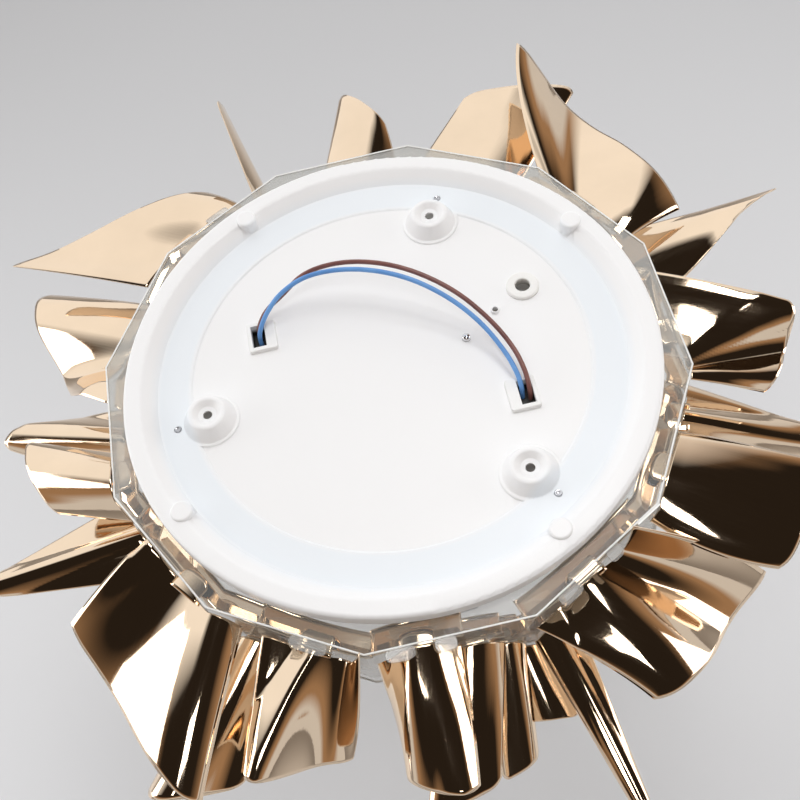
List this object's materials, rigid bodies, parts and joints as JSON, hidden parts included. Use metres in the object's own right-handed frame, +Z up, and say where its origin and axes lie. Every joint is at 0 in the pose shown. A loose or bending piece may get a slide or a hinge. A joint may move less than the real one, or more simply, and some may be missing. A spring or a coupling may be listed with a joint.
{
  "type": "led ceiling light",
  "caption": "Round ceiling light: pressed white mounting plate, clear faceted band with curved mirror-film petals plugged into it, and an opal diffuser.",
  "frame": {"origin": "centre of the three mounting holes, in the plane of the ceiling", "axes": "+Z up to the ceiling, +X and +Y in the plane of the ceiling, the cable grommet at +X +Y"},
  "size_m": [0.5041, 0.5083, 0.1051],
  "materials": {
    "plate_paint": "white gloss powder coat",
    "white_rubber": "smooth",
    "bright_metal": "polished",
    "white_plastic": "moulded",
    "blue_insulation": "smooth",
    "brown_insulation": "smooth",
    "clear_film": "clear bent sheet",
    "rose_gold_film": "mirror metallised film",
    "zinc_steel": "zinc plated",
    "white_tray": "white coat",
    "board_mask": "white solder mask",
    "led_phosphor": "domed phosphor",
    "driver_case": "fine texture",
    "opal_bowl": "opal"
  },
  "bodies": {
    "root": {"base_plate": "plate_paint", "cable_grommet": "white_rubber", "earth_stud": "bright_metal", "earth_nut": "zinc_steel", "cable_frame_left": "white_plastic", "cable_frame_right": "white_plastic", "terminal_left": "white_plastic", "terminal_right": "white_plastic", "wire_blue": "blue_insulation", "wire_brown": "brown_insulation", "petal_frame": "clear_film", "frame_ring": "clear_film", "carrier_screws": "zinc_steel", "spacers": "zinc_steel", "led_tray": "white_tray", "driver": "driver_case", "driver_screws": "zinc_steel", "led_board": "board_mask", "leds": "led_phosphor", "board_screws": "zinc_steel", "diffuser": "opal_bowl", "diffuser_clips": "zinc_steel", "petal_01": "rose_gold_film", "petal_02": "rose_gold_film", "petal_03": "rose_gold_film", "petal_04": "rose_gold_film", "petal_05": "rose_gold_film", "petal_06": "rose_gold_film", "petal_07": "rose_gold_film", "petal_08": "rose_gold_film", "petal_09": "rose_gold_film", "petal_10": "rose_gold_film", "petal_11": "rose_gold_film", "petal_12": "rose_gold_film", "petal_13": "rose_gold_film", "petal_14": "rose_gold_film", "petal_15": "rose_gold_film", "petal_16": "rose_gold_film", "petal_17": "rose_gold_film", "petal_18": "rose_gold_film", "petal_19": "rose_gold_film", "petal_20": "rose_gold_film", "petal_21": "rose_gold_film", "petal_22": "rose_gold_film"}
  },
  "joints": []
}
